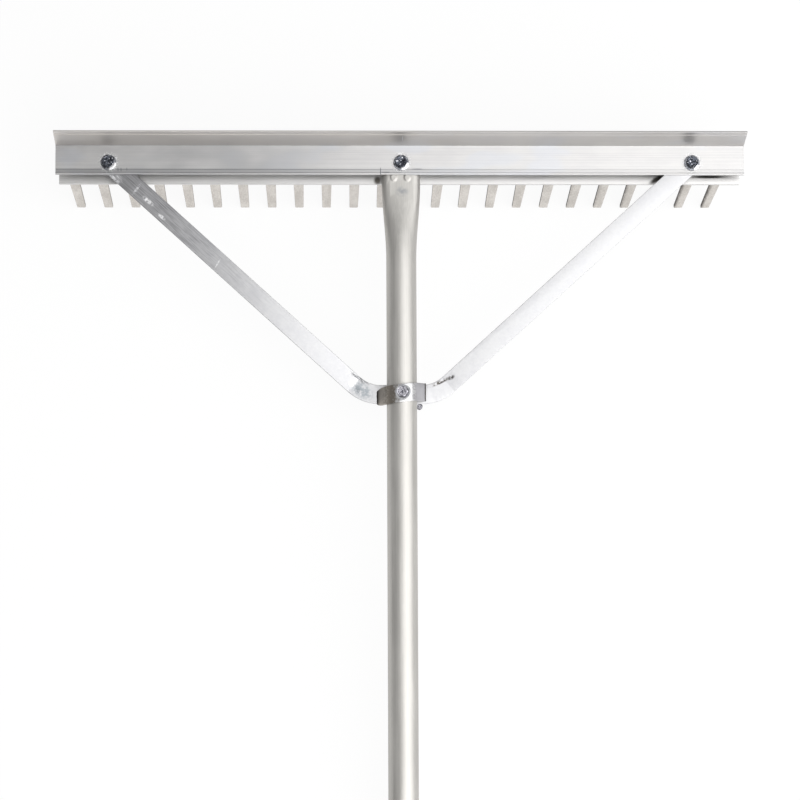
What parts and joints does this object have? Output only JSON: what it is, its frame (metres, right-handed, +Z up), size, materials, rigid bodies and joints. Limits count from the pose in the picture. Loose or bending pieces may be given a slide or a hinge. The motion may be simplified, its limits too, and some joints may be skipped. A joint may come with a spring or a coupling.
{
  "type": "landscape rake",
  "caption": "Wide aluminium landscape rake: straight head with levelling lip and flat blade teeth, V brace clamped to a long tube handle.",
  "frame": {"origin": "on the ground below the middle of the tool's box, with the rake lying teeth down on its tooth tips and grip end", "axes": "+X along the head, to the right of the user, +Y along the handle towards the head, +Z up; the handle slopes by about 3.2 degrees"},
  "size_m": [0.9144, 1.6926, 0.1585],
  "materials": {
    "rail_aluminium": "mill finish extrusion, fine lines along its length",
    "blade_aluminium": "matt, sheared and tumbled",
    "tube_aluminium": "satin, drawn",
    "bar_aluminium": "bright mill finish with press marks at the bends",
    "spacer_aluminium": "sawn tube",
    "zinc_steel": "bright zinc plated steel",
    "plug_plastic": "moulded, fine matt texture"
  },
  "bodies": {
    "root": {"head_rail": "rail_aluminium", "tooth_bar": "rail_aluminium", "tooth_01": "blade_aluminium", "tooth_02": "blade_aluminium", "tooth_03": "blade_aluminium", "tooth_04": "blade_aluminium", "tooth_05": "blade_aluminium", "tooth_06": "blade_aluminium", "tooth_07": "blade_aluminium", "tooth_08": "blade_aluminium", "tooth_09": "blade_aluminium", "tooth_10": "blade_aluminium", "tooth_11": "blade_aluminium", "tooth_12": "blade_aluminium", "tooth_13": "blade_aluminium", "tooth_14": "blade_aluminium", "tooth_15": "blade_aluminium", "tooth_16": "blade_aluminium", "tooth_17": "blade_aluminium", "tooth_18": "blade_aluminium", "tooth_19": "blade_aluminium", "tooth_20": "blade_aluminium", "tooth_21": "blade_aluminium", "tooth_22": "blade_aluminium", "tooth_23": "blade_aluminium", "tooth_24": "blade_aluminium", "channel_spacers": "spacer_aluminium", "handle_tube": "tube_aluminium", "grip_plug": "plug_plastic", "brace": "bar_aluminium", "clamp_strap": "bar_aluminium", "head_bolts": "zinc_steel", "head_washers": "zinc_steel", "rear_washers": "zinc_steel", "head_nuts": "zinc_steel", "clamp_bolt": "zinc_steel", "clamp_washer": "zinc_steel", "clamp_nut": "zinc_steel"}
  },
  "joints": []
}
